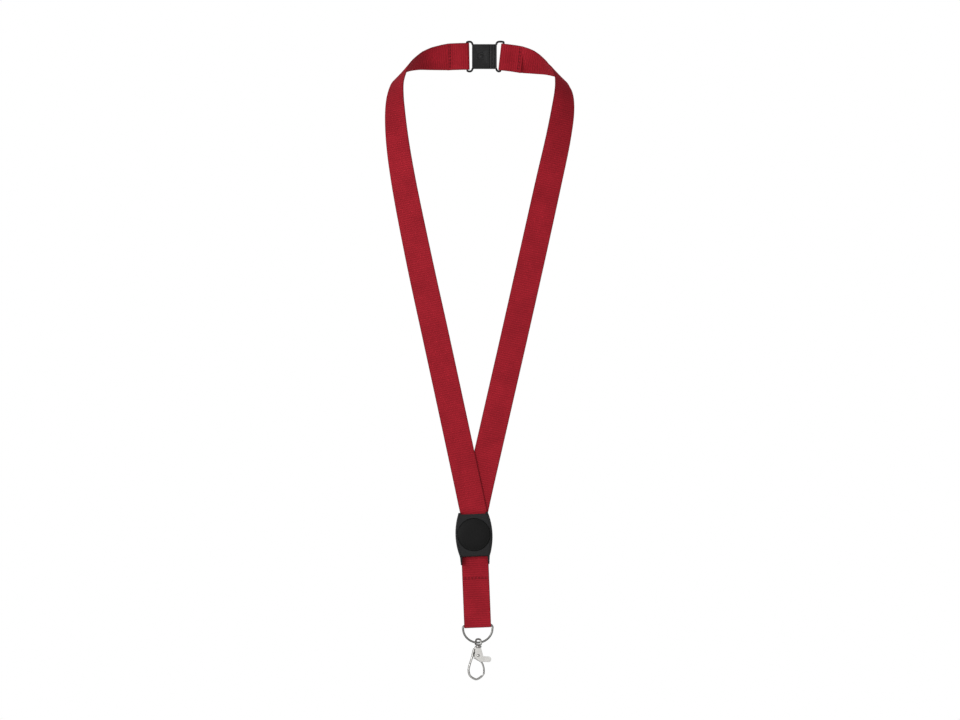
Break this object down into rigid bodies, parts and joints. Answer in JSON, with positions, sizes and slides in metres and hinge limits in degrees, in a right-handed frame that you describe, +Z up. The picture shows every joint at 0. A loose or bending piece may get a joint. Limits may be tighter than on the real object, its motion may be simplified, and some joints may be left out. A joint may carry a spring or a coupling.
{
  "type": "neck lanyard",
  "caption": "Webbing neck lanyard with a release buckle behind the neck, a round-window badge over the chest, and a D-ring with a swivelling trigger hook.",
  "frame": {"origin": "middle of the release buckle's neck-side face, where the band bears on the back of the neck", "axes": "+Z up the worn lanyard, +X along the buckle from socket to plug, +Y from the chest side to behind the neck"},
  "size_m": [0.1422, 0.0457, 0.4802],
  "materials": {
    "webbing": "ribbed polyester webbing, satin",
    "thread": "polyester thread",
    "buckle_plastic": "fine moulded texture",
    "badge_plastic": "satin moulded",
    "disc_face": "satin printed face under a clear dome",
    "nickel": "bright nickel plate",
    "steel_wire": "nickelled steel wire"
  },
  "bodies": {
    "loop": {"neck_strap_left": "webbing", "neck_strap_right": "webbing", "seam_left": "thread", "seam_joint": "thread", "buckle_socket": "buckle_plastic", "badge_front": "badge_plastic", "badge_back": "badge_plastic", "badge_disc": "disc_face", "tail_strap": "webbing", "seam_tail": "thread"},
    "plug": {"buckle_plug": "buckle_plastic", "seam_right": "thread"},
    "ring": {"d_ring": "steel_wire"},
    "swivel": {"swivel_eye": "nickel"},
    "hook": {"hook_body": "nickel", "lever_pin": "nickel", "lever_spring": "steel_wire"},
    "lever": {"hook_lever": "nickel"}
  },
  "joints": [
    {"name": "buckle_release", "type": "slide", "parent": "loop", "child": "plug", "axis": [1, 0, 0], "range_m": [0, 0.012], "deforming": ["neck_strap_right"]},
    {"name": "ring_swing", "type": "hinge", "parent": "loop", "child": "ring", "pos_m": [-0.00507, -0.02815, -0.4266], "axis": [0.9992, 0, 0.0401], "range_deg": [-90, 90]},
    {"name": "eye_swing", "type": "hinge", "parent": "ring", "child": "swivel", "pos_m": [-0.00455, -0.02815, -0.43959], "axis": [0.9992, 0, 0.0401], "range_deg": [-60, 60]},
    {"name": "hook_swivel", "type": "hinge", "parent": "swivel", "child": "hook", "pos_m": [-0.00455, -0.02815, -0.444], "axis": [0, 0, 1], "continuous": true},
    {"name": "lever_open", "type": "hinge", "parent": "hook", "child": "lever", "pos_m": [-0.00455, -0.02815, -0.44919], "axis": [0, 1, 0], "range_deg": [0, 25], "stiffness_Nm_per_rad": 0.02, "springref_deg": -20.05, "deforming": ["lever_spring"]}
  ]
}
